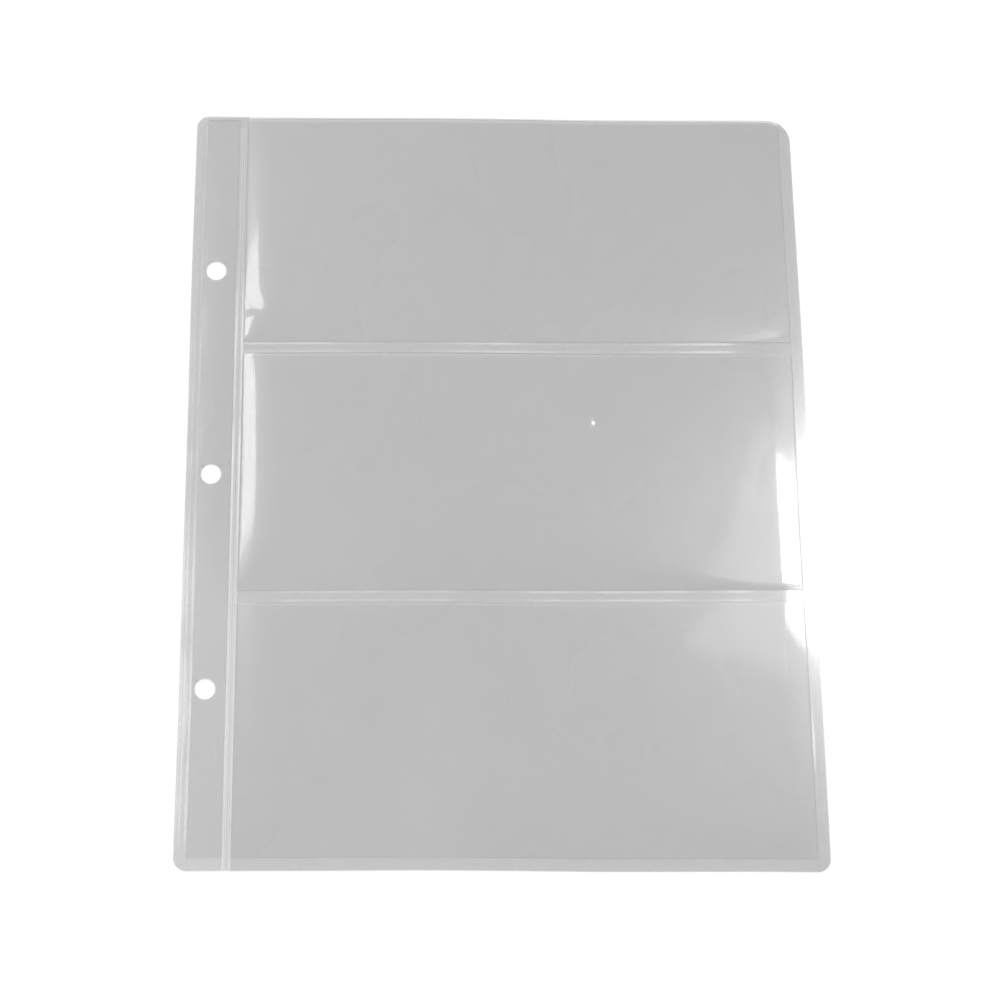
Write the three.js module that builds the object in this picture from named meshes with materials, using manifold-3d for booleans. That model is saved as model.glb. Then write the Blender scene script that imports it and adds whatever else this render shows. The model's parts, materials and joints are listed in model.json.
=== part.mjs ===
// A clear album page for banknotes: soft film welded into a punched binding strip and three pockets.
//
// Millimetres. The page lies on its back at Z = 0, centred on X and Y. +Y runs towards its top edge,
// where the top pocket opens, and the binding strip with the ring holes is on the -X side.
// The back film carries everything. Welds are ribbed bars pressed onto it, and front films lie between
// the welds, a little above the back film. The strip folds along a groove between the seam's two ribs,
// and each pocket's front film lifts about its floor.

import * as THREE from 'three';
import { mergeVertices } from 'three/addons/utils/BufferGeometryUtils.js';
import Module from 'manifold-3d';

const manifold = await Module();
manifold.setup();

// The sheet
const pageWidth = 202;
const pageHeight = 252;
const cornerRadius = 4; // both left corners and the lower right one
const mouthCornerRadius = 8; // the upper right corner, at the end of the top pocket's mouth
const filmThickness = 0.2;

// The pockets, from the bottom edge up
const pocketNames = ['bottom', 'middle', 'top'];
const pocketAir = 0.3; // free height between the back film and a front film
const topMargin = 1.2; // back film that shows above the top pocket's mouth
const mouthSlit = 0.4; // between a lower pocket's mouth and the divider above it

// The welds
const edgeWeldWidth = 4; // left, right and bottom edges
const dividerWeldWidth = 4;
const stripTopWeldWidth = 1.6;
const pressedHeight = 0.25; // flat part of a weld, above the back film
const ribHeight = 0.15; // a rib stands this much above the flat part
const dividerGroove = 1.5; // flat film between a divider's two ribs
const edgeGroove = 0.8; // flat film between the two ribs of an edge weld
const beadWidth = 0.9; // round bead along the cut edge
const filmToWeld = 0.3; // clearance from a front film to the weld beside it

// The seam between the strip and the pockets
const foldInset = 15.9; // from the left edge to the line that the strip folds on
const seamRibWidth = 1;
const foldClearance = 0.05; // left between the two sides of the fold at a right angle

// The ring holes
const ringHoleDiameter = 6.5;
const ringHolePitch = 70;
const ringHoleCount = 3;
const ringHoleInset = 8; // from the left edge to the centres

// Facets
const cornerSteps = 12;
const holeSteps = 48;
const ribSteps = 6;
const samePoint = 1e-6; // two outline points nearer than this are one

// Places that follow from the sizes
const left = -pageWidth / 2;
const right = pageWidth / 2;
const bottom = -pageHeight / 2;
const top = pageHeight / 2;
const weldFoot = filmThickness;
const weldTop = weldFoot + pressedHeight + ribHeight;
const frontFoot = filmThickness + pocketAir;
const foldX = left + foldInset;
const foldHeight = filmThickness / 2; // the fold runs in the middle of the back film
const filmFromFold = filmThickness / 2 + foldClearance;
const ribFromFold = weldTop - foldHeight + foldClearance;
const stripSide = foldX - ribFromFold - seamRibWidth; // where the strip's own space ends
const pocketSide = foldX + ribFromFold + seamRibWidth; // where the pockets' space starts
const leftWeldEnd = left + edgeWeldWidth;
const rightWeldStart = right - edgeWeldWidth;
const bottomWeldEnd = bottom + edgeWeldWidth;
const dividerCount = pocketNames.length - 1;
const pocketDepth =
  (pageHeight - edgeWeldWidth - dividerCount * dividerWeldWidth - topMargin) / pocketNames.length;
const pocketPitch = pocketDepth + dividerWeldWidth;
const reach = 5; // how far a cutting block runs past the page, on every free side

// Turns a closed geometry into a solid that can be joined and cut.
function solidOf(geometry) {
  const bare = geometry.clone();
  bare.deleteAttribute('normal');
  bare.deleteAttribute('uv');
  const merged = mergeVertices(bare);
  return new manifold.Manifold(
    new manifold.Mesh({
      numProp: 3,
      vertProperties: new Float32Array(merged.attributes.position.array),
      triVerts: new Uint32Array(merged.index.array),
    })
  );
}

function geometryOf(solid) {
  const mesh = solid.getMesh();
  const geometry = new THREE.BufferGeometry();
  geometry.setAttribute('position', new THREE.BufferAttribute(mesh.vertProperties, mesh.numProp));
  geometry.setIndex(new THREE.BufferAttribute(mesh.triVerts, 1));
  geometry.computeVertexNormals();
  return geometry;
}

function block(x0, x1, y0, y1, z0 = -reach, z1 = reach) {
  const box = new THREE.BoxGeometry(x1 - x0, y1 - y0, z1 - z0);
  box.translate((x0 + x1) / 2, (y0 + y1) / 2, (z0 + z1) / 2);
  return solidOf(box);
}

// Stations counter-clockwise round the page, from the lower right corner. Each has a point on the cut
// edge and the direction towards the inside. Straight sides need no stations of their own.
function edgeStations() {
  const corners = [
    { sideX: 1, sideY: -1, radius: cornerRadius },
    { sideX: 1, sideY: 1, radius: mouthCornerRadius },
    { sideX: -1, sideY: 1, radius: cornerRadius },
    { sideX: -1, sideY: -1, radius: cornerRadius },
  ];
  const stations = [];
  corners.forEach(({ sideX, sideY, radius }, index) => {
    const centreX = sideX * (pageWidth / 2 - radius);
    const centreY = sideY * (pageHeight / 2 - radius);
    for (let step = 0; step <= cornerSteps; step++) {
      const angle = ((index - 1 + step / cornerSteps) * Math.PI) / 2;
      const outX = Math.cos(angle);
      const outY = Math.sin(angle);
      stations.push({
        x: centreX + radius * outX,
        y: centreY + radius * outY,
        inX: -outX,
        inY: -outY,
      });
    }
  });
  return stations;
}

// Carries a profile along stations. A profile point's x is measured from the station inwards, and its
// y upwards. A ring joins its last station to its first, and an open run gets two flat ends.
function sweep(profile, stations, ring) {
  const positions = [];
  for (const { x, y, inX, inY } of stations) {
    for (const point of profile) {
      positions.push(x + inX * point.x, y + inY * point.x, point.y);
    }
  }
  const size = profile.length;
  const triangles = [];
  const spans = ring ? stations.length : stations.length - 1;
  for (let span = 0; span < spans; span++) {
    const here = span * size;
    const ahead = ((span + 1) % stations.length) * size;
    for (let i = 0; i < size; i++) {
      const next = (i + 1) % size;
      triangles.push(here + i, here + next, ahead + next);
      triangles.push(here + i, ahead + next, ahead + i);
    }
  }
  if (!ring) {
    const last = (stations.length - 1) * size;
    for (const [a, b, c] of THREE.ShapeUtils.triangulateShape(profile, [])) {
      triangles.push(a, c, b);
      triangles.push(last + a, last + b, last + c);
    }
  }
  const geometry = new THREE.BufferGeometry();
  geometry.setAttribute('position', new THREE.Float32BufferAttribute(positions, 3));
  geometry.setIndex(triangles);
  return solidOf(geometry);
}

// The cross-section of a weld, from its outer side inwards: pressed film with round-topped ribs.
// Each rib is given by its centre and its width.
function weldProfile(width, ribs) {
  const level = weldFoot + pressedHeight;
  const points = [
    new THREE.Vector2(0, weldFoot),
    new THREE.Vector2(width, weldFoot),
    new THREE.Vector2(width, level),
  ];
  const inwardsFirst = [...ribs].sort((a, b) => b.centre - a.centre);
  for (const rib of inwardsFirst) {
    for (let step = 0; step <= ribSteps; step++) {
      const angle = (step / ribSteps) * Math.PI;
      const across = rib.centre + (rib.width / 2) * Math.cos(angle);
      points.push(new THREE.Vector2(across, level + ribHeight * Math.sin(angle)));
    }
  }
  points.push(new THREE.Vector2(0, level));
  return points.filter(
    (point, index) => index === 0 || point.distanceTo(points[index - 1]) > samePoint
  );
}

// Two ribs that fill a weld's width on both sides of the groove between them.
function ribPair(from, to, groove) {
  const width = (to - from - groove) / 2;
  return [
    { centre: from + width / 2, width },
    { centre: to - width / 2, width },
  ];
}

// A straight run between two points, with the inside on its left.
function straight(fromX, fromY, toX, toY) {
  const length = Math.hypot(toX - fromX, toY - fromY);
  const inX = -(toY - fromY) / length;
  const inY = (toX - fromX) / length;
  return [
    { x: fromX, y: fromY, inX, inY },
    { x: toX, y: toY, inX, inY },
  ];
}

// The whole page as a flat plate, drawn in by an inset on all sides.
function sheet(z0, z1, inset = 0) {
  const points = edgeStations().map(
    ({ x, y, inX, inY }) => new THREE.Vector2(x + inX * inset, y + inY * inset)
  );
  const plate = new THREE.ExtrudeGeometry(new THREE.Shape(points), {
    depth: z1 - z0,
    bevelEnabled: false,
  });
  plate.translate(0, 0, z0);
  return solidOf(plate);
}

// The bead that the cutting rule leaves runs right round the page. Each edge weld keeps a stretch of it.
const beadProfile = weldProfile(beadWidth, [{ centre: beadWidth / 2, width: beadWidth }]);
const edgeBead = sweep(beadProfile, edgeStations(), true);
const insideBead = sheet(weldFoot, weldTop, beadWidth / 2);

// A weld along a cut edge: its ribs stop at the rounded corners, and the bead goes round them.
function edgeWeld(run, width, ribs, region) {
  const ribbed = sweep(weldProfile(width, ribs), run, false);
  return ribbed.intersect(insideBead).add(edgeBead).intersect(region);
}

const edgeRibs = ribPair(beadWidth, edgeWeldWidth, edgeGroove);

function leftEdgeWeld() {
  const run = straight(left, top, left, bottom);
  const region = block(left - reach, leftWeldEnd, bottom - reach, top + reach);
  return edgeWeld(run, edgeWeldWidth, edgeRibs, region);
}

function rightEdgeWeld() {
  const run = straight(right, bottom, right, top);
  const region = block(rightWeldStart, right + reach, bottom - reach, top + reach);
  return edgeWeld(run, edgeWeldWidth, edgeRibs, region);
}

function bottomWeld(fromX, toX) {
  const run = straight(fromX, bottom, toX, bottom);
  const region = block(fromX, toX, bottom - reach, bottomWeldEnd);
  return edgeWeld(run, edgeWeldWidth, edgeRibs, region);
}

function stripTopWeld() {
  const run = straight(stripSide, top, leftWeldEnd, top);
  const region = block(leftWeldEnd, stripSide, top - stripTopWeldWidth, top + reach);
  return edgeWeld(run, stripTopWeldWidth, [], region);
}

// One rib of the seam, as long as the page.
function seamRib(startX) {
  const profile = weldProfile(seamRibWidth, [{ centre: seamRibWidth / 2, width: seamRibWidth }]);
  return sweep(profile, straight(startX, top, startX, bottom), false);
}

function dividerWeld(y) {
  const ribs = ribPair(0, dividerWeldWidth, dividerGroove);
  const profile = weldProfile(dividerWeldWidth, ribs);
  return sweep(profile, straight(pocketSide, y, rightWeldStart, y), false);
}

// The punch goes through both films of the strip at once.
function ringPunches() {
  const punches = [];
  for (let hole = 0; hole < ringHoleCount; hole++) {
    const y = (hole - (ringHoleCount - 1) / 2) * ringHolePitch;
    const punch = new THREE.CylinderGeometry(
      ringHoleDiameter / 2,
      ringHoleDiameter / 2,
      2 * reach,
      holeSteps
    );
    punch.rotateX(Math.PI / 2);
    punch.translate(left + ringHoleInset, y, 0);
    punches.push(solidOf(punch));
  }
  return punches;
}

function punched(film) {
  return ringPunches().reduce((rest, punch) => rest.subtract(punch), film);
}

function stripBackFilm() {
  const region = block(left - reach, foldX - filmFromFold, bottom - reach, top + reach);
  return punched(sheet(0, filmThickness).intersect(region));
}

function stripFrontFilm() {
  return punched(
    block(
      leftWeldEnd + filmToWeld,
      stripSide - filmToWeld,
      bottomWeldEnd + filmToWeld,
      top - stripTopWeldWidth - filmToWeld,
      frontFoot,
      frontFoot + filmThickness
    )
  );
}

function pageBackFilm() {
  const region = block(foldX + filmFromFold, right + reach, bottom - reach, top + reach);
  return sheet(0, filmThickness).intersect(region);
}

// The line that a pocket's front film hinges on: its lower edge, just above the weld at its floor.
function pocketHingeY(index) {
  return bottomWeldEnd + index * pocketPitch + filmToWeld;
}

// A front film, open at its mouth. The top one follows the page's corner, a margin inside it.
function pocketFrontFilm(index) {
  const isTop = index === pocketNames.length - 1;
  const mouthY = bottomWeldEnd + index * pocketPitch + pocketDepth - (isTop ? 0 : mouthSlit);
  const film = block(
    pocketSide + filmToWeld,
    rightWeldStart - filmToWeld,
    pocketHingeY(index),
    mouthY,
    frontFoot,
    frontFoot + filmThickness
  );
  return film.intersect(sheet(0, weldTop + reach, topMargin));
}

const filmLook = { color: 0xbebebc, roughness: 0.15, metalness: 0, transparent: true, opacity: 0.4 };
const weldLook = { color: 0xd0d0ce, roughness: 0.3, metalness: 0, transparent: true, opacity: 0.6 };

function named(name, solid, look) {
  const mesh = new THREE.Mesh(geometryOf(solid), new THREE.MeshStandardMaterial(look));
  mesh.name = name;
  return mesh;
}

// A group that turns about a line through its own origin. Its pieces are given in page coordinates.
function hinged(x, y, z, pieces) {
  const pivot = new THREE.Group();
  pivot.position.set(x, y, z);
  for (const piece of pieces) {
    piece.position.set(-x, -y, -z);
    pivot.add(piece);
  }
  return pivot;
}

const page = new THREE.Group();
page.add(
  named('page_back_film', pageBackFilm(), filmLook),
  named('seam_weld_pocket_side', seamRib(pocketSide - seamRibWidth), weldLook),
  named('right_edge_weld', rightEdgeWeld(), weldLook),
  named('bottom_edge_weld', bottomWeld(pocketSide, rightWeldStart), weldLook),
  named('lower_divider_weld', dividerWeld(bottomWeldEnd + pocketDepth), weldLook),
  named('upper_divider_weld', dividerWeld(bottomWeldEnd + pocketDepth + pocketPitch), weldLook)
);

const strip = hinged(foldX, 0, foldHeight, [
  named('strip_back_film', stripBackFilm(), filmLook),
  named('strip_front_film', stripFrontFilm(), filmLook),
  named('left_edge_weld', leftEdgeWeld(), weldLook),
  named('strip_top_weld', stripTopWeld(), weldLook),
  named('strip_bottom_weld', bottomWeld(leftWeldEnd, stripSide), weldLook),
  named('seam_weld_strip_side', seamRib(stripSide), weldLook),
]);
page.add(strip);

pocketNames.forEach((pocket, index) => {
  const film = named(`${pocket}_pocket_film`, pocketFrontFilm(index), filmLook);
  page.add(hinged(0, pocketHingeY(index), frontFoot + filmThickness / 2, [film]));
});

export default page;
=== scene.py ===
# %% [markdown]
# # A clear album page for banknotes
# The page is made of soft clear film. One back film carries three pocket films and the front film of a
# punched strip, and ribbed weld bars hold them together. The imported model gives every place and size.
# This script gives each piece its real surface, and lights it as in a plain photo studio.

import json
import math

import bmesh
import bpy
from mathutils import Euler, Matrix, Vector, noise


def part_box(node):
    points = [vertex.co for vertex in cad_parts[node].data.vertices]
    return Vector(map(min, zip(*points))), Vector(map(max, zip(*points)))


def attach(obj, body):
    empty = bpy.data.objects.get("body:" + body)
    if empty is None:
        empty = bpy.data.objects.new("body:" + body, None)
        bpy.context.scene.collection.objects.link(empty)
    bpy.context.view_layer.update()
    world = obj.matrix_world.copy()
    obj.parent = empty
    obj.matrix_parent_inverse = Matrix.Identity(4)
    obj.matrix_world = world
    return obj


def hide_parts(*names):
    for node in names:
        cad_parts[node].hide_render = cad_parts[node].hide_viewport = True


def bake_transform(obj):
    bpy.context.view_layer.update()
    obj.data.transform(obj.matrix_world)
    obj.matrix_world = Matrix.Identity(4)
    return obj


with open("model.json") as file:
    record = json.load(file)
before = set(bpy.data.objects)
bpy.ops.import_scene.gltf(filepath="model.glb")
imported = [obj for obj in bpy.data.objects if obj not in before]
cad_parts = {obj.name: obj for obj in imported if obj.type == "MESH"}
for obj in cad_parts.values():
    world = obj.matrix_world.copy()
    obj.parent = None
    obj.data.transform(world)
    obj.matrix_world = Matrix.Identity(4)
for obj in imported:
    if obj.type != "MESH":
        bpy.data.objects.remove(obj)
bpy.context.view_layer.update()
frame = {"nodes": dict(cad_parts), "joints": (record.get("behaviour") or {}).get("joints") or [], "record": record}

# %% [markdown]
# ## Sizes read from the frame
# A film or a weld may only lie where the model has it, so the script measures the model's nodes instead
# of repeating their numbers. Only what a box can't tell, such as a corner's radius, is written here.

# %% Places and sizes
MM = 0.001
pockets = ("bottom", "middle", "top")

strip_back_low, strip_back_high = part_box("strip_back_film")
page_back_low, page_back_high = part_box("page_back_film")
page_low = Vector((strip_back_low.x, strip_back_low.y))
page_high = Vector((page_back_high.x, page_back_high.y))
film_thickness = strip_back_high.z
corner_radius = 4 * MM
mouth_corner_radius = 8 * MM
top_margin = 1.2 * MM
page_radii = (corner_radius, corner_radius, mouth_corner_radius, corner_radius)
hole_centres = [
    (Vector(opening["box_m"][0]) + Vector(opening["box_m"][1])).xy / 2
    for opening in frame["record"]["physics"]["openings"]
]
hole_radius = min(
    (vertex.co.xy - hole_centres[1]).length for vertex in frame["nodes"]["strip_back_film"].data.vertices
)
fold = next(joint for joint in frame["joints"] if joint["name"] == "strip_fold")
fold_x = fold["pos_m"][0]
print("page", page_low[:], page_high[:], "film", film_thickness, "hole radius", round(hole_radius, 5))

# %% [markdown]
# ## The camera
# The page was photographed from above its lower edge, a little to the left of its middle. The place, the
# turn and the lens were found by fitting the page's corners and ring holes to where the photograph shows
# them. The page isn't in the middle of the lens's view there, so the lens is shifted a little.

# %% Camera
camera_place = Vector((-31.9, -158.9, 570.7)) * MM
camera_turn = [math.radians(angle) for angle in (14.76, -1.81, -0.41)]
camera_lens = 65.88
camera_shift = 0.04

camera_data = bpy.data.cameras.new("page_camera")
camera_data.lens = camera_lens
camera_data.sensor_width = 36
camera_data.shift_x = camera_shift
camera_data.clip_start = 0.01
camera = bpy.data.objects.new("page_camera", camera_data)
camera.location = camera_place
camera.rotation_euler = Euler(camera_turn)
bpy.context.scene.collection.objects.link(camera)
bpy.context.scene.camera = camera
print("camera", [round(v, 4) for v in camera_place], "lens", camera_lens)

# %% [markdown]
# ## Floor and light
# Clear film shows itself by what it mirrors. Where it lies flat it mirrors nothing bright. Beside the
# seam it bends towards a panel on the left, and along the right edge towards one on the right, with a dim
# one next to it for the soft sheen there. The world gives the even light. The floor is white to the eye
# and keeps the film's soft shadow. Its glow grows outwards, because the panels light its far part less.

# %% Light helpers
scene = bpy.context.scene
scene.view_settings.view_transform = "Standard"
scene.cycles.transparent_max_bounces = 32


def seen_directly(nodes, links):
    """1 for rays that look straight at a surface, in a mirror or through glass, and 0 for the rest."""
    path = nodes.new("ShaderNodeLightPath")
    total = path.outputs["Is Camera Ray"]
    for name in ("Is Glossy Ray", "Is Transmission Ray"):
        larger = nodes.new("ShaderNodeMath")
        larger.operation = "MAXIMUM"
        links.new(total, larger.inputs[0])
        links.new(path.outputs[name], larger.inputs[1])
        total = larger.outputs[0]
    return total


# %% World
fill_light = 0.5

world = bpy.data.worlds.new("studio")
world.use_nodes = True
scene.world = world
nodes, links = world.node_tree.nodes, world.node_tree.links
nodes.clear()
world_out = nodes.new("ShaderNodeOutputWorld")
background = nodes.new("ShaderNodeBackground")
background.inputs["Color"].default_value = (1, 1, 1, 1)
level = nodes.new("ShaderNodeMapRange")
level.inputs["To Min"].default_value = fill_light
level.inputs["To Max"].default_value = 1.0
links.new(seen_directly(nodes, links), level.inputs["Value"])
links.new(level.outputs[0], background.inputs["Strength"])
links.new(background.outputs[0], world_out.inputs["Surface"])
print("fill light", fill_light)

# %% Floor
floor_half = 3.0
floor_drop = 0.05 * MM
floor_white = 0.9
near_radius, near_glow = 0.4, 0.25
far_radius, far_glow = 2.4, 0.62

bm = bmesh.new()
bmesh.ops.create_grid(bm, x_segments=8, y_segments=8, size=floor_half)
bmesh.ops.translate(bm, verts=bm.verts[:], vec=(0, 0, -floor_drop))
floor_mesh = bpy.data.meshes.new("floor")
bm.to_mesh(floor_mesh)
bm.free()
floor = bpy.data.objects.new("floor", floor_mesh)
scene.collection.objects.link(floor)

floor_look = bpy.data.materials.new("white_paper")
floor_look.use_nodes = True
nodes, links = floor_look.node_tree.nodes, floor_look.node_tree.links
nodes.clear()
floor_out = nodes.new("ShaderNodeOutputMaterial")
paper = nodes.new("ShaderNodeBsdfDiffuse")
paper.inputs["Color"].default_value = (floor_white, floor_white, floor_white, 1)
glow = nodes.new("ShaderNodeEmission")
floor_place = nodes.new("ShaderNodeTexCoord")
distance = nodes.new("ShaderNodeVectorMath")
distance.operation = "LENGTH"
links.new(floor_place.outputs["Object"], distance.inputs[0])
outwards = nodes.new("ShaderNodeMapRange")
outwards.inputs["From Min"].default_value = near_radius
outwards.inputs["From Max"].default_value = far_radius
outwards.inputs["To Min"].default_value = near_glow
outwards.inputs["To Max"].default_value = far_glow
links.new(distance.outputs["Value"], outwards.inputs["Value"])
glow_level = nodes.new("ShaderNodeMath")
glow_level.operation = "MULTIPLY"
links.new(seen_directly(nodes, links), glow_level.inputs[0])
links.new(outwards.outputs[0], glow_level.inputs[1])
links.new(glow_level.outputs[0], glow.inputs["Strength"])
both = nodes.new("ShaderNodeAddShader")
links.new(paper.outputs[0], both.inputs[0])
links.new(glow.outputs[0], both.inputs[1])
links.new(both.outputs[0], floor_out.inputs["Surface"])
floor_mesh.materials.append(floor_look)


# %% Panels
panel_height = 1.5
dim_panel_height = 1.502


def panel(name, place, width, depth, radiance, turn=0):
    """A soft panel that hangs level over the table and shines down."""
    data = bpy.data.lights.new(name, "AREA")
    data.shape = "RECTANGLE"
    data.size = width
    data.size_y = depth
    data.energy = radiance * math.pi * width * depth
    lamp = bpy.data.objects.new(name, data)
    lamp.location = place
    lamp.rotation_euler.z = math.radians(turn)
    scene.collection.objects.link(lamp)
    return lamp


panels = (
    panel("left_panel", (-0.80, 0.565, panel_height), width=0.46, depth=0.41, radiance=13.5),
    panel("right_panel", (0.75, 0.345, panel_height), width=0.42, depth=0.27, radiance=24.0),
    panel("dim_panel", (0.50, 0.33, dim_panel_height), width=0.20, depth=0.36, radiance=3.1, turn=-23),
)
print("lamps", [lamp.name for lamp in panels])

# %% [markdown]
# ## Node helpers
# Both finishes of this page vary from place to place: haze and waves in the film, pale crests and dark
# rims in the welds. A few small helpers keep their node trees short. Patterns read the object's own
# coordinates, and every piece sits at the origin, so a pattern runs on from one piece to the next.


# %% Node helpers
def pattern(nodes, links, scale, detail):
    """Noise over the object, the same in every piece."""
    place = nodes.new("ShaderNodeTexCoord")
    texture = nodes.new("ShaderNodeTexNoise")
    texture.inputs["Scale"].default_value = scale
    texture.inputs["Detail"].default_value = detail
    links.new(place.outputs["Object"], texture.inputs["Vector"])
    return texture.outputs[0]


def ranged(nodes, links, value, low, high, to_low, to_high):
    """Maps a value's range onto another, and clamps it there."""
    node = nodes.new("ShaderNodeMapRange")
    for name, number in (("From Min", low), ("From Max", high), ("To Min", to_low), ("To Max", to_high)):
        node.inputs[name].default_value = number
    links.new(value, node.inputs["Value"])
    return node.outputs[0]


def combined(nodes, links, operation, first, second):
    """One sum, product or the like of two sockets."""
    node = nodes.new("ShaderNodeMath")
    node.operation = operation
    links.new(first, node.inputs[0])
    links.new(second, node.inputs[1])
    return node.outputs[0]


def between(nodes, links, share, first, second):
    """A colour between two, each a colour or a socket, by a share that is a socket."""
    node = nodes.new("ShaderNodeMix")
    node.data_type = "RGBA"
    links.new(share, node.inputs[0])
    for socket, colour in zip((node.inputs[6], node.inputs[7]), (first, second)):
        if isinstance(colour, tuple):
            socket.default_value = (*colour, 1)
        else:
            links.new(colour, socket)
    return node.outputs[2]


# %% Node helpers for places and normals
def bumped(nodes, links, height, strength, distance):
    """A normal that follows a height socket."""
    node = nodes.new("ShaderNodeBump")
    node.inputs["Strength"].default_value = strength
    node.inputs["Distance"].default_value = distance
    links.new(height, node.inputs["Height"])
    return node.outputs[0]


def along(nodes, links, direction):
    """How far a point lies along a direction, in metres times the direction's length."""
    place = nodes.new("ShaderNodeTexCoord")
    node = nodes.new("ShaderNodeVectorMath")
    node.operation = "DOT_PRODUCT"
    node.inputs[1].default_value = direction
    links.new(place.outputs["Object"], node.inputs[0])
    return node.outputs["Value"]


def mesh_value(nodes, name):
    """A value that the mesh carries for each of its points."""
    node = nodes.new("ShaderNodeAttribute")
    node.attribute_name = name
    return node.outputs["Fac"]


# %% [markdown]
# ## The finish of the film
# Soft film is clear, slightly grey and glossy. A glass shader would be the other way to make it, but thin
# sheets of glass block lamps and leave noise. Here each wall of a film covers a small share of what lies
# under it, and the gloss of that share is high. Faint haze and slow waves break it up. A film is denser,
# and so darker, in the groove of the fold, and along a mouth's cut edge it carries a thin line of painted
# shade, for the dark that a cut edge shows. The strip turns paler towards its lower end. The mesh says
# where, in values of its own. The cover also grows towards the upper right, a painted shade that leaves
# the film lighter at its lower left and darker at its upper right, as light falls across the page.

# %% Film finish
film_grey = (0.20, 0.20, 0.198)
film_haze = (0.28, 0.28, 0.278)
film_paler_below = (0.45, 0.45, 0.445)
film_cover = 0.172
cover_spread = 0.015
# denser, so darker, in the groove of the fold, and a thin line of painted shade along a mouth's cut edge
dense_and_edge_shade_cover = 0.12
# painted shade: the film's cover grows towards the upper right, so the page is lighter at its lower left and
# darker at its upper right, as light falls across it
painted_shade_growth = (0.11, 0.05, 0)
soft_film_index = 1.6
film_coat_roughness = 0.06
film_roughness = (0.22, 0.32)
haze_scale = 14
middle_shades = (0.3, 0.7)
wave_scale = 55
wave_bump = 0.25
wave_depth = 0.4 * MM


def film_finish():
    look = bpy.data.materials.new("clear_film")
    look.use_nodes = True
    nodes, links = look.node_tree.nodes, look.node_tree.links
    shader = nodes["Principled BSDF"]
    shader.inputs["IOR"].default_value = soft_film_index
    shader.inputs["Specular IOR Level"].default_value = 1.0
    shader.inputs["Coat Weight"].default_value = 1.0
    shader.inputs["Coat IOR"].default_value = soft_film_index
    shader.inputs["Coat Roughness"].default_value = film_coat_roughness
    haze = pattern(nodes, links, haze_scale, 2)
    shades = ranged(nodes, links, haze, *middle_shades, 0, 1)
    colour = between(nodes, links, shades, film_grey, film_haze)
    paler_share = mesh_value(nodes, "paler_below")
    links.new(between(nodes, links, paler_share, colour, film_paler_below), shader.inputs["Base Color"])
    least_cover, most_cover = film_cover - cover_spread, film_cover + cover_spread
    cover = ranged(nodes, links, haze, *middle_shades, least_cover, most_cover)
    # denser in the groove, and a thin line of painted shade along a mouth's cut edge
    dense_and_edge_shade = ranged(nodes, links, mesh_value(nodes, "dense_and_edge_shade"), 0, 1, 0, dense_and_edge_shade_cover)
    # painted shade, darker towards the upper right
    cover = combined(nodes, links, "ADD", cover, along(nodes, links, painted_shade_growth))
    links.new(combined(nodes, links, "ADD", cover, dense_and_edge_shade), shader.inputs["Alpha"])
    links.new(ranged(nodes, links, haze, *middle_shades, *film_roughness), shader.inputs["Roughness"])
    waves = pattern(nodes, links, wave_scale, 1)
    links.new(bumped(nodes, links, waves, wave_bump, wave_depth), shader.inputs["Normal"])
    return look


clear_film = film_finish()
print("film covers", film_cover, "at each wall")

# %% [markdown]
# ## The finish of the welds
# A weld is both films pressed and melted into one bar by a ribbed tool. Its crests look pale, partly from
# the pressed film's own paleness and partly by painted highlight where the ribs glint. Its rims carry thin
# dark lines of painted shade, for the dark that a real rim shows. The mesh carries both as values named
# crest and rim, so the finish follows the ribs exactly, also round the corners. Both come and go in
# patches.

# %% Weld finish
weld_grey = (0.33, 0.33, 0.325)
# pale crests: partly the pressed film's own paleness, partly painted highlight where the ribs glint
weld_pale_and_highlight = (0.97, 0.97, 0.96)
# painted shade: the thin dark lines along a weld's rims
painted_rim_shade = (0.10, 0.10, 0.10)
weld_cover = 0.15
crest_and_highlight_cover = 0.38
strongest_crest = 2.4
pale_from = 0.4
rim_shade_cover = 0.06
# painted shade: the welds grow darker towards the upper right, as light falls across the page
weld_painted_shade_growth = (0.15, 0.15, 0)
weld_coat, weld_coat_roughness = 0.8, 0.12
weld_roughness = (0.16, 0.3)
patch_scale = 32
crest_runs = (0.35, 0.65, 0.1, 1.0)
rim_shade_breaks = (0.4, 0.6, 1, 0.2)
grain_scale = 900
grain_bump = 0.15
grain_depth = 0.1 * MM


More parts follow.
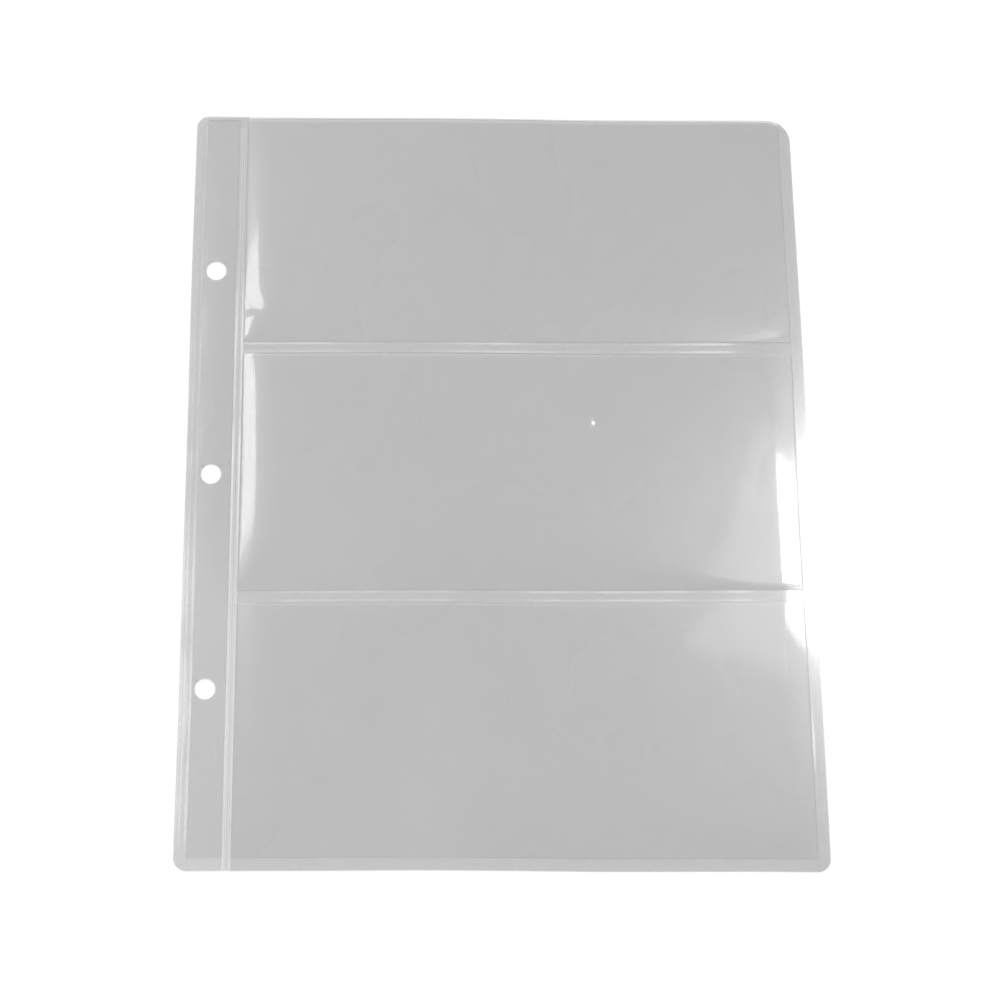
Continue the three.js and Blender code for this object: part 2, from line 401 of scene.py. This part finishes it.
def weld_finish():
    look = bpy.data.materials.new("pressed_weld")
    look.use_nodes = True
    nodes, links = look.node_tree.nodes, look.node_tree.links
    shader = nodes["Principled BSDF"]
    shader.inputs["IOR"].default_value = soft_film_index
    shader.inputs["Specular IOR Level"].default_value = 1.0
    shader.inputs["Coat Weight"].default_value = weld_coat
    shader.inputs["Coat Roughness"].default_value = weld_coat_roughness
    patches = pattern(nodes, links, patch_scale, 3)
    run = ranged(nodes, links, patches, *crest_runs)
    # crest paleness, partly painted highlight where the ribs glint
    pale = combined(nodes, links, "MULTIPLY", mesh_value(nodes, "crest"), run)
    # rim: the thin lines of painted shade, broken in patches
    broken = ranged(nodes, links, patches, *rim_shade_breaks)
    rim = combined(nodes, links, "MULTIPLY", mesh_value(nodes, "rim"), broken)
    paleness = ranged(nodes, links, pale, 0, pale_from, 0, 1)
    colour = between(nodes, links, paleness, weld_grey, weld_pale_and_highlight)
    links.new(between(nodes, links, rim, colour, painted_rim_shade), shader.inputs["Base Color"])
    densest = weld_cover + (crest_and_highlight_cover - weld_cover) * strongest_crest
    cover = ranged(nodes, links, pale, 0, strongest_crest, weld_cover, densest)
    # painted shade, darker towards the upper right
    cover = combined(nodes, links, "ADD", cover, along(nodes, links, weld_painted_shade_growth))
    # the painted shade at the rims also covers a little more
    rim_shade_alpha = ranged(nodes, links, rim, 0, 1, 0, rim_shade_cover)
    links.new(combined(nodes, links, "ADD", cover, rim_shade_alpha), shader.inputs["Alpha"])
    grain = pattern(nodes, links, grain_scale, 2)
    links.new(ranged(nodes, links, grain, *middle_shades, *weld_roughness), shader.inputs["Roughness"])
    links.new(bumped(nodes, links, grain, grain_bump, grain_depth), shader.inputs["Normal"])
    return look


pressed_weld = weld_finish()
print("finishes", clear_film.name, pressed_weld.name)

# %% [markdown]
# ## Cutting a sheet
# Film is cut from a roll with a rule die. The same is done here: one face with rounded corners is cut by
# planes into cells small enough to bend, so no list of points is needed. The cells are small near the
# welds, where the film bends most, and larger in the middle.

# %% Cutting
corner_segments = 10
same_place = 1e-7


def cut_at(bm, axis, places):
    """Cuts all faces by planes across one axis."""
    across = Vector((axis == 0, axis == 1, 0))
    for place in places:
        everything = bm.verts[:] + bm.edges[:] + bm.faces[:]
        bmesh.ops.bisect_plane(bm, geom=everything, dist=same_place, plane_co=across * place, plane_no=across)


def keep_between(bm, axis, low, high):
    """Cuts away what lies outside two planes across one axis."""
    across = Vector((axis == 0, axis == 1, 0))
    for place, outwards in ((low, -across), (high, across)):
        everything = bm.verts[:] + bm.edges[:] + bm.faces[:]
        bmesh.ops.bisect_plane(
            bm,
            geom=everything,
            dist=same_place,
            plane_co=across * place,
            plane_no=outwards,
            clear_outer=True,
        )


def rounded_face(low, high, radii):
    """One flat face with rounded corners, from the lower left corner round to the upper left one."""
    bm = bmesh.new()
    places = ((low.x, low.y), (high.x, low.y), (high.x, high.y), (low.x, high.y))
    corners = [bm.verts.new((x, y, 0)) for x, y in places]
    bm.faces.new(corners)
    for corner, radius in zip(corners, radii):
        if radius > 0:
            bmesh.ops.bevel(
                bm,
                geom=[corner],
                offset=radius,
                offset_type="OFFSET",
                segments=corner_segments,
                profile=0.5,
                affect="VERTICES",
                material=-1,
            )
    return bm


# %% Sizes of the cells
def steps(low, high, size):
    """Places between low and high, about a size apart, without the two ends."""
    count = max(1, round((high - low) / size))
    return [low + (high - low) * i / count for i in range(1, count)]


def graded(low, high, finest, coarsest):
    """Places that are close together near both ends and wide apart in the middle."""
    growth = 1.35
    near, place, step = [], 0, finest
    while step < coarsest and place + step < (high - low) / 2:
        place += step
        near.append(place)
        step *= growth
    inner_low, inner_high = low + place, high - place
    ends = [low + place for place in near] + [high - place for place in near]
    return sorted(ends + steps(inner_low, inner_high, coarsest))


print("a page width of cells:", len(graded(page_low.x, page_high.x, 0.5 * MM, 2.5 * MM)))

# %% [markdown]
# ## Thickness, holes and a closed mesh
# A flat sheet gets its thickness by an extrusion, which also makes the walls round its rim and its holes.
# A ring hole is a square cell whose inner edge is drawn into a circle. Every piece then goes through the
# same last step, which also gives the whole page the slight drift that soft film has, so that no edge of
# it is dead straight. The drift dies out at the fold, which stays on its hinge line.

# %% Thickness and holes
hole_cell = 3.6 * MM
hole_edge_cuts = 3


def thickened(bm, thickness):
    """Raises a copy of a flat sheet by its thickness, and returns the raised points."""
    raised = bmesh.ops.extrude_face_region(bm, geom=bm.faces[:])["geom"]
    top = [item for item in raised if isinstance(item, bmesh.types.BMVert)]
    bmesh.ops.translate(bm, verts=top, vec=(0, 0, thickness))
    return top


def nearest_face(bm, centre):
    return min(bm.faces, key=lambda face: (face.calc_center_median().xy - centre).length)


def punch(bm, centre):
    """Makes a ring hole in a sheet that is still flat."""
    for axis in (0, 1):
        cut_at(bm, axis, (centre[axis] - hole_cell, centre[axis] + hole_cell))
    inside = [
        face
        for face in bm.faces
        if max(abs(face.calc_center_median()[axis] - centre[axis]) for axis in (0, 1)) < hole_cell
    ]
    bmesh.ops.dissolve_faces(bm, faces=inside, use_verts=True)
    cell = nearest_face(bm, centre)
    bmesh.ops.inset_region(bm, faces=[cell], thickness=hole_cell - hole_radius, use_even_offset=True)
    cell = nearest_face(bm, centre)
    bmesh.ops.subdivide_edges(bm, edges=cell.edges[:], cuts=hole_edge_cuts)
    cell = nearest_face(bm, centre)
    for vertex in cell.verts:
        outwards = (vertex.co.xy - centre).normalized()
        vertex.co.xy = centre + outwards * hole_radius
    bmesh.ops.delete(bm, geom=[cell], context="FACES_ONLY")


# %% Drift and waves of the page
sharp_angle = math.radians(35)
drift_size = 62 * MM
drift_x, drift_x_seed = 0.55 * MM, 3.5
drift_y, drift_y_seed = 0.40 * MM, 8.5
drift_length = 4
drift_from_fold = 30 * MM
corner_stretch = 0.85 * MM
middle_stretch = 0.35
ground_wave, ground_seed = 0.10 * MM, 1.5
ground_wave_size = 34 * MM
ground_swell = 0.9 * MM
ground_slope = 0.10
swell_softness = 0.08 * MM
swell_middle = -21 * MM
swell_half = 60 * MM
swell_reach = (40 * MM, 150 * MM)


def smooth_noise(x, y, size, seed):
    """Smooth noise between about -1 and 1."""
    return noise.noise(Vector((x / size, y / size, seed)))


def smooth_step(value, low, high):
    """0 below low, 1 above high, and smooth in between."""
    share = min(1, max(0, (value - low) / (high - low)))
    return share * share * (3 - 2 * share)


def soft_least(values, softness):
    """The least of some values, rounded off where two are alike."""
    return max(0, -softness * math.log(sum(math.exp(-value / softness) for value in values)))


# %% How the page lies
def ground_height(x, y):
    """How far the back film lies above the table: low waves, and one long swell at the right edge."""
    waves = ground_wave * (1 + smooth_noise(x, y, ground_wave_size, ground_seed)) / 2
    inwards = page_high.x - x
    swell = soft_least((inwards * ground_slope, ground_swell), swell_softness)
    fading = 1 - smooth_step(inwards, *swell_reach)
    return waves + swell * fading * math.exp(-(((y - swell_middle) / swell_half) ** 2))


def laid(point):
    """Where a point of the flat page lies on the table, once the film has drifted and swelled a little."""
    loose = min(1, abs(point.x - fold_x) / drift_from_fold)
    lower = smooth_step(-point.y, 0, page_high.y)
    stretch = corner_stretch * lower * (middle_stretch + point.x / page_high.x)
    aside = drift_x * loose * smooth_noise(point.x / drift_length, point.y, drift_size, drift_x_seed)
    onward = drift_y * smooth_noise(point.x, point.y / drift_length, drift_size, drift_y_seed)
    height = ground_height(point.x, point.y)
    return Vector((point.x + aside, point.y - stretch + onward, point.z + height))


# %% Finishing a mesh
def mark(bm, name, amount):
    """Gives each point of a mesh a value that a finish can read."""
    layer = bm.verts.layers.float.new(name)
    for vertex in bm.verts:
        vertex[layer] = float(amount(vertex.co))


def finished(bm, name, finish):
    """Makes a smooth object at the origin from a bmesh, and counts the edges that are open."""
    for vertex in bm.verts:
        vertex.co = laid(vertex.co)
    bmesh.ops.recalc_face_normals(bm, faces=bm.faces[:])
    open_edges = sum(not edge.is_manifold for edge in bm.edges)
    mesh = bpy.data.meshes.new(name)
    bm.to_mesh(mesh)
    bm.free()
    mesh.shade_smooth()
    mesh.set_sharp_from_angle(angle=sharp_angle)
    mesh.materials.append(finish)
    piece = bpy.data.objects.new(name, mesh)
    scene.collection.objects.link(piece)
    print(name, len(mesh.polygons), "faces,", open_edges, "open edges")
    return piece


# %% [markdown]
# ## The back film
# The back film is one sheet from the left edge to the right one. The model parts it at the fold only so
# that a hinge can turn there. Here it is one sheet again, cut into fine cells inside the groove of the
# seam, where the real film bends between the strip and the page. It lies on the table with waves so low
# that only its gloss shows them.

# %% Back film
film_cell = 2.0 * MM
film_cell_finest = 0.45 * MM
fold_cell = 0.1 * MM
paler_below_growth = (0, 60 * MM)

fold_low, fold_high = strip_back_high.x, page_back_low.x
groove_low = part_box("seam_weld_strip_side")[1].x
groove_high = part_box("seam_weld_pocket_side")[0].x


def paleness_below(point):
    """The strip and the groove of its fold turn paler towards the bottom of the page."""
    in_strip = point.x < groove_high + same_place
    return in_strip * smooth_step(-point.y, *paler_below_growth)


bm = rounded_face(page_low, page_high, page_radii)
cut_at(bm, 0, graded(page_low.x, fold_low, film_cell_finest, film_cell))
cut_at(bm, 0, [groove_low, fold_low, *steps(fold_low, fold_high, fold_cell), fold_high, groove_high])
cut_at(bm, 0, graded(fold_high, page_high.x, film_cell_finest, film_cell))
cut_at(bm, 1, steps(page_low.y, page_high.y, film_cell))
for centre in hole_centres:
    punch(bm, centre)
thickened(bm, film_thickness)
# the groove of the fold is denser, and so darker
mark(bm, "dense_and_edge_shade", lambda point: groove_low < point.x < groove_high)
mark(bm, "paler_below", paleness_below)
back_film = finished(bm, "back_film", clear_film)
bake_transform(back_film)
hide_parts("strip_back_film", "page_back_film")

# %% [markdown]
# ## How a front film swells
# A front film is held at its welds, and air under it makes it swell. It leaves a weld at its steepest and
# then flattens, so a profile that nears its full height little by little fits it. A pocket's film does so
# within millimetres of the seam, but takes half the page from the right edge. Its mouth has no weld, but
# the film is taut along it, so it lies a little lower there.

# %% Swelling
weld_foot = film_thickness
front_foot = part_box("middle_pocket_film")[0].z
lift_length = 0.12 * MM
front_gap = 0.15 * MM


def bend(bm, height):
    """Raises each point by a height that depends on its place."""
    for vertex in bm.verts:
        vertex.co.z += height(vertex.co.x, vertex.co.y)


def rise(distance, length):
    """0 at a weld, and near 1 a few lengths away from it."""
    return 1 - math.exp(-max(distance, 0) / length)


def front_lift(distance, length=lift_length):
    """How a front film leaves the weld: up from the back film to its own level."""
    low = weld_foot + front_gap
    return low + (front_foot - low) * rise(distance, length)


# %% [markdown]
# ## The front film of the strip
# The strip is welded on all four sides, so its front film hardly swells. The ring holes are punched
# through both films at once. Its edges reach just into the welds, so that no gap shows between them.

# %% Strip front film
tuck = 0.12 * MM
strip_lift_length = 3 * MM
strip_swell, strip_swell_length = 0.10 * MM, 4 * MM
strip_wave, strip_wave_length = 0.10 * MM, 2 * MM
strip_wave_size, strip_seed = 11 * MM, 4.5
strip_cell_finest = 0.3 * MM
strip_cell_across, strip_cell_along = 1.2 * MM, 1.6 * MM

strip_low = Vector((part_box("left_edge_weld")[1].x - tuck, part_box("strip_bottom_weld")[1].y - tuck))
strip_high = Vector((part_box("seam_weld_strip_side")[0].x + tuck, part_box("strip_top_weld")[0].y + tuck))


def strip_height(x, y):
    edge = min(x - strip_low.x, strip_high.x - x, y - strip_low.y, strip_high.y - y)
    swell = strip_swell * rise(edge, strip_swell_length)
    wave = strip_wave * rise(edge, strip_wave_length) * smooth_noise(x, y, strip_wave_size, strip_seed)
    return front_lift(edge, strip_lift_length) + swell + wave


bm = rounded_face(strip_low, strip_high, (0, 0, 0, 0))
cut_at(bm, 0, graded(strip_low.x, strip_high.x, strip_cell_finest, strip_cell_across))
cut_at(bm, 1, graded(strip_low.y, strip_high.y, strip_cell_finest, strip_cell_along))
for centre in hole_centres:
    punch(bm, centre)
thickened(bm, film_thickness)
bend(bm, strip_height)
strip_front = finished(bm, "strip_front", clear_film)
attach(strip_front, "strip")
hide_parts("strip_front_film")

# %% [markdown]
# ## What shapes a pocket's swelling
# Each side pulls the film down over its own length, and the side that pulls most wins, with soft valleys
# where two are alike. In the middle pocket the floor's pull reaches less far at the right, where the
# photograph's soft light runs down to the weld. Two dents are pressed in: a crease low beside the seam, in
# whose shape the glare there ends, and a small crescent in the middle pocket, which shows as a bright spot.

# %% Pocket swelling
pocket_swell = 1.5 * MM
seam_length = 6.2 * MM
edge_length = 46 * MM
floor_length = 11 * MM
flatter_floor = {"bottom": 0, "middle": 0.75, "top": 0}
flatter_reach = (30 * MM, 80 * MM)
side_softness = 0.2
mouth_length = 9 * MM
mouth_share = 0.75
pocket_wave, pocket_seed = 0.2, 2.5
pocket_wave_size = 48 * MM
crease = {
    "at": (-80.0 * MM, 56.8 * MM),
    "half_across": 3.3 * MM,
    "half_below": 2.0 * MM,
    "half_above": 4.5 * MM,
    "depth": 0.33 * MM,
}
crescent = {
    "at": (31.3 * MM, 16.1 * MM),
    "half_across": 1.1 * MM,
    "half_below": 2.0 * MM,
    "half_above": 2.0 * MM,
    "depth": 0.26 * MM,
}


# %% Height of a pocket film
def dent_depth(x, y):
    """How deep the dents press the film in at a place."""
    total = 0
    for dent in (crease, crescent):
        (at_x, at_y), half_x = dent["at"], dent["half_across"]
        half_y = dent["half_above"] if y > at_y else dent["half_below"]
        total += dent["depth"] * math.exp(-(((x - at_x) / half_x) ** 2) - ((y - at_y) / half_y) ** 2)
    return total


def pocket_height(x, y, low, high, flatter):
    """The swelling of a pocket's film between its welds and its mouth."""
    floor_reach = floor_length * (1 - flatter * smooth_step(x, *flatter_reach))
    left, right, floor_side, mouth_side = x - low.x, high.x - x, y - low.y, high.y - y
    edge = min(left, right, floor_side)
    lengths = (left / seam_length, right / edge_length, floor_side / floor_reach)
    lengths_in = soft_least(lengths, side_softness)
    mouth = mouth_share + (1 - mouth_share) * rise(mouth_side, mouth_length)
    waves = 1 + pocket_wave * smooth_noise(x, y, pocket_wave_size, pocket_seed)
    swell = pocket_swell * rise(lengths_in, 1) * mouth * waves
    return front_lift(edge) + swell - min(swell, dent_depth(x, y))


# %% [markdown]
# ## The pocket films
# Each pocket film is welded on three sides and free along its mouth. When a note goes in, the middle of
# the mouth lifts and the sides stay welded. So each film is made as two halves, one on each side of the
# middle, and the halves are then joined.

# %% Pocket halves
def pocket_half(whole, name, low_x, high_x):
    """One half of a pocket film, open where it meets the other half."""
    half = whole.copy()
    keep_between(half, 0, low_x, high_x)
    return finished(half, name, clear_film)


def joined(first, second):
    """Joins the second piece to the first, and merges the points of the seam in the middle."""
    bpy.ops.object.select_all(action="DESELECT")
    first.select_set(True)
    second.select_set(True)
    bpy.context.view_layer.objects.active = first
    bpy.ops.object.join()
    bm = bmesh.new()
    bm.from_mesh(first.data)
    rim = [edge for edge in bm.edges if edge.is_boundary]
    seam = list({vertex for edge in rim for vertex in edge.verts})
    bmesh.ops.remove_doubles(bm, verts=seam, dist=2 * same_place)
    print(first.name, "open edges after joining", sum(not edge.is_manifold for edge in bm.edges))
    bm.to_mesh(first.data)
    bm.free()
    return first


# %% Pocket films
front_cell = 1.6 * MM
front_cell_finest = 0.14 * MM
crescent_reach = (3 * MM, 5 * MM)
crescent_cell = (0.25 * MM, 0.4 * MM)
# width of the thin line of painted shade along a mouth's cut edge
mouth_shade_width = 0.2 * MM
middle_x = 0.0

pocket_floors = {
    "bottom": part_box("bottom_edge_weld")[1].y,
    "middle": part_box("lower_divider_weld")[1].y,
    "top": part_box("upper_divider_weld")[1].y,
}
for pocket in pockets:
    node_low, node_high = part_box(f"{pocket}_pocket_film")
    low = Vector((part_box("seam_weld_pocket_side")[1].x - tuck, pocket_floors[pocket] - tuck))
    high = Vector((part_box("right_edge_weld")[0].x + tuck, node_high.y))
    if pocket == "top":
        outer = Vector((page_high.x - top_margin, high.y))
        bm = rounded_face(low, outer, (0, 0, mouth_corner_radius - top_margin, 0))
        keep_between(bm, 0, low.x, high.x)
    else:
        bm = rounded_face(low, high, (0, 0, 0, 0))
    cut_at(bm, 0, graded(low.x, middle_x, front_cell_finest, front_cell))
    cut_at(bm, 0, [middle_x, *graded(middle_x, high.x, front_cell_finest, front_cell)])
    cut_at(bm, 1, graded(low.y, high.y, front_cell_finest, front_cell))
    if pocket == "middle":
        for axis in (0, 1):
            place, reach = crescent["at"][axis], crescent_reach[axis]
            cut_at(bm, axis, steps(place - reach, place + reach, crescent_cell[axis]))
    thickened(bm, film_thickness)
    # a thin line of painted shade along the mouth's cut edge
    mark(bm, "dense_and_edge_shade", lambda point: point.y > high.y - mouth_shade_width)
    bend(bm, lambda x, y: pocket_height(x, y, low, high, flatter_floor[pocket]))
    left_half = pocket_half(bm, f"{pocket}_pocket", low.x, middle_x)
    right_half = pocket_half(bm, f"{pocket}_pocket_right", middle_x, high.x)
    bm.free()
    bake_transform(left_half)
    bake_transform(right_half)
    joined(left_half, right_half)
    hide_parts(f"{pocket}_pocket_film")

# %% [markdown]
# ## The ribbed welds
# The welding tool has rounded ribs, so a weld's cross-section is the same all along it: flat pressed
# film with ribs on it. Straight welds are strips cut across at each step of that section. The weld along
# the page's edge is made from the page's own outline, inset again and again, so its bead and its ribs
# follow the rounded corners. Afterwards each point is raised by the section's height at its place. Where
# the press bore hard, the flats between the ribs turn a little pale too, partly as painted highlight.

# %% Weld section
rib_height = 0.15 * MM
pressed_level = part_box("left_edge_weld")[1].z - rib_height
rim_width = 0.13 * MM
rim_share = 0.8
weld_gap = 0.01 * MM
rib_cuts = 6
least_cut = 0.04 * MM
bead = (0.0, 0.9 * MM)
edge_ribs = (bead, (0.9 * MM, 2.05 * MM), (2.85 * MM, 4.0 * MM))
divider_ribs = ((0.0, 1.25 * MM), (2.75 * MM, 4.0 * MM))
seam_ribs = ((0.0, 1.0 * MM),)
seam_rib_height = 0.09 * MM
edge_wander = 0.22 * MM
straight_wander = 0.06 * MM
flat_paleness = 0.3
wander_size, wander_seed = 17 * MM, 6.5
wander_from = 0.4 * MM
even_strength, uneven_strength = 0.8, 0.35
strength_size, strength_seed = 9 * MM, 7.5
weld_cell = 1.8 * MM


# %% Cuts and crests of a section
def section_places(width, ribs):
    """Places across a weld at which its section bends."""
    places = {rim_width, width - rim_width}
    for start, end in ribs:
        places.update(start + (end - start) * i / rib_cuts for i in range(rib_cuts + 1))
    ordered = sorted(place for place in places if same_place < place < width - same_place)
    kept = [ordered[0]]
    for place in ordered[1:]:
        if place - kept[-1] > least_cut:
            kept.append(place)
    return kept


def crest_at(place, ribs):
    """0 on the flat part of a weld, and 1 on top of a rib."""
    for start, end in ribs:
        if start < place < end:
            return math.sin(math.pi * (place - start) / (end - start))
    return 0.0


# %% Ribs on a weld
def ribbed(bm, name, width, ribs, place_of, wander, height, fade, rim_shades):
    """Gives a flat strip its thickness and its ribs. place_of gives how far across the weld a point is,
    and the last argument how much painted shade darkens its first and its last rim."""
    bmesh.ops.translate(bm, verts=bm.verts[:], vec=(0, 0, weld_foot + weld_gap))
    top = set(thickened(bm, pressed_level - weld_foot - weld_gap))
    crest_and_highlight_layer = bm.verts.layers.float.new("crest")
    rim_shade_layer = bm.verts.layers.float.new("rim")
    for vertex in bm.verts:
        x, y = vertex.co.xy
        place = place_of(vertex.co)
        aside = wander * smooth_noise(x, y, wander_size, wander_seed)
        strength = even_strength + uneven_strength * smooth_noise(x, y, strength_size, strength_seed)
        inside = min(1, min(place, width - place) / wander_from)
        crest = crest_at(place + aside * inside, ribs)
        paleness = flat_paleness + (1 - flat_paleness) * crest
        faded = fade(vertex.co)
        # crest value: pale crests, partly painted highlight
        vertex[crest_and_highlight_layer] = (paleness * faded) ** 2 * strength
        # where a weld's rims get their thin lines of painted shade
        first_rim, last_rim = place < rim_width * rim_share, width - place < rim_width * rim_share
        vertex[rim_shade_layer] = max(rim_shades[0] * first_rim, rim_shades[1] * last_rim)
        if vertex in top:
            vertex.co.z += height * crest * min(1, faded)
    return finished(bm, name, pressed_weld)


def weld_done(piece, body, node):
    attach(piece, body)
    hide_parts(node)
    return piece


# %% [markdown]
# ## Straight welds
# No press bears evenly. The ribs of the seam are strongest at the middle of the page and weak at its top,
# and those of a divider run out before the right edge. A function for each weld says how strong its ribs
# are at a point, which sets both how high they stand and how pale they look, and that paleness is partly
# painted highlight.


# %% Straight welds
def straight_weld(node, name, axis, ribs, body, height, fade, rim_shades):
    """A weld whose section runs across one axis and which is as long as its node on the other."""
    low, high = (corner.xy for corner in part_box(node))
    width = high[axis] - low[axis]
    bm = rounded_face(low, high, (0, 0, 0, 0))
    cut_at(bm, axis, [low[axis] + place for place in section_places(width, ribs)])
    cut_at(bm, 1 - axis, steps(low[1 - axis], high[1 - axis], weld_cell))

    def place_of(point):
        return point[axis] - low[axis]

    piece = ribbed(bm, name, width, ribs, place_of, straight_wander, height, fade, rim_shades)
    return weld_done(piece, body, node)


# %% Seam and dividers
hardest_place, hardest_half = 10 * MM, 45 * MM
seam_even, seam_loss = 1.1, 0.85
seam_fading = (40 * MM, 85 * MM)
# the rim values here set how much painted shade darkens the rims of the seam and the dividers
seam_rim_shades = (0.3, 0.3)
divider_even, divider_loss = 0.8, 0.85
divider_fading = (76 * MM, 86 * MM)
divider_rim_shades = (0.6, 0.6)


def seam_strength(point):
    """The seam was pressed hardest at the page's middle, and hardly at its top."""
    hardest = math.exp(-(((point.y - hardest_place) / hardest_half) ** 2))
    return seam_even - seam_loss * smooth_step(point.y, *seam_fading) + hardest


def divider_strength(point):
    """The divider's ribs run out before they reach the right edge."""
    return divider_even * (1 - divider_loss * smooth_step(point.x, *divider_fading))


seam = (seam_rib_height, seam_strength, seam_rim_shades)
divider = (rib_height, divider_strength, divider_rim_shades)
straight_weld("seam_weld_strip_side", "seam_rib_strip", 0, seam_ribs, "strip", *seam)
straight_weld("seam_weld_pocket_side", "seam_rib_pocket", 0, seam_ribs, "page", *seam)
straight_weld("lower_divider_weld", "lower_divider", 1, divider_ribs, "page", *divider)
straight_weld("upper_divider_weld", "upper_divider", 1, divider_ribs, "page", *divider)


# %% [markdown]
# ## Welds along the page's edge
# These carry a round bead along the cut edge, then a rib, a groove and a rib. How far a point is inside
# the outline tells where in that section it lies, on the straight sides and in the corners alike. The ribs
# are strong low on the left edge and weak elsewhere, and low on the right edge the inner one carries short
# streaks of painted highlight.

# %% Sizes of the edge welds
edge_width = 4 * MM
strip_top_width = 1.6 * MM
inner_gap = 0.03 * MM
least_ring = 0.02 * MM
# how much painted shade darkens an edge weld's inner rim
faint_rim_shade, plain_rim_shade = 0.1, 0.8
left_strength, upward_loss, bottom_loss = 1.6, 0.95, 0.5
# the gain here adds painted highlight to the inner rib, low on the right edge
right_loss, painted_highlight_gain = 0.2, 0.9
edge_reach = (3 * MM, 20 * MM)
upward_fading = (-90 * MM, 40 * MM)
right_side = (10 * MM, 4 * MM)
# where the painted highlight fades in, down the right edge
painted_highlight_end = (68 * MM, 86 * MM)
inner_rib_from = 2.5 * MM
run_size, run_seed = 12 * MM, 9.5
run_share = (-0.2, 0.2)


# %% Place and strength in an edge weld
def inset_of(point):
    """How far a point is inside the page's outline."""
    left, right = point.x - page_low.x, page_high.x - point.x
    below, above = point.y - page_low.y, page_high.y - point.y
    sides = ((left, below), (right, below), (right, above), (left, above))
    for (across, along), radius in zip(sides, page_radii):
        if across < radius and along < radius:
            return radius - math.hypot(radius - across, radius - along)
    return min(left, right, below, above)


def edge_strength(point):
    """Strong ribs low on the left edge, painted highlight on the inner rib low on the right one, weak ones
    elsewhere.
    """
    near, far = edge_reach
    rightwards = smooth_step(point.x, page_low.x + near, page_low.x + far)
    upwards = smooth_step(point.y, *upward_fading)
    below = 1 - smooth_step(point.y, page_low.y + near, page_low.y + far)
    on_right = smooth_step(point.x, page_high.x - right_side[0], page_high.x - right_side[1])
    runs = smooth_step(smooth_noise(point.x, point.y, run_size, run_seed), *run_share)
    # painted highlight: short bright streaks on the inner rib, low on the right edge
    bright = (inset_of(point) > inner_rib_from) * runs * smooth_step(-point.y, *painted_highlight_end)
    strength = left_strength - upward_loss * max(rightwards, upwards)
    strength += (painted_highlight_gain * bright - right_loss) * on_right
    return strength * (1 - bottom_loss * below)


# %% Edge welds
def edge_weld(node, name, width, ribs, body, inner_rim_shade):
    """A weld along the page's edge, cut out of rings that follow the page's outline."""
    low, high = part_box(node)
    bm = rounded_face(page_low, page_high, page_radii)
    inner = bm.faces[:][0]
    reached = 0
    for place in section_places(width, ribs) + [width - inner_gap]:
        if place > reached + least_ring:
            bmesh.ops.inset_region(
                bm, faces=[inner], thickness=place - reached, use_even_offset=True, use_boundary=True
            )
            reached = place
    bmesh.ops.delete(bm, geom=[inner], context="FACES")
    for axis in (0, 1):
        keep_between(bm, axis, low[axis] - same_place, high[axis] + same_place)
    length_axis = 0 if high.x - low.x > high.y - low.y else 1
    ends = (low[length_axis] + width, high[length_axis] - width)
    cut_at(bm, length_axis, [ends[0], *steps(*ends, weld_cell), ends[1]])
    rim_shades = (1, inner_rim_shade)
    piece = ribbed(bm, name, width, ribs, inset_of, edge_wander, rib_height, edge_strength, rim_shades)
    return weld_done(piece, body, node)


edge_weld("left_edge_weld", "left_edge", edge_width, edge_ribs, "strip", faint_rim_shade)
edge_weld("right_edge_weld", "right_edge", edge_width, edge_ribs, "page", faint_rim_shade)
edge_weld("bottom_edge_weld", "bottom_edge", edge_width, edge_ribs, "page", plain_rim_shade)
edge_weld("strip_bottom_weld", "strip_bottom", edge_width, edge_ribs, "strip", plain_rim_shade)
edge_weld("strip_top_weld", "strip_top", strip_top_width, (bead,), "strip", plain_rim_shade)
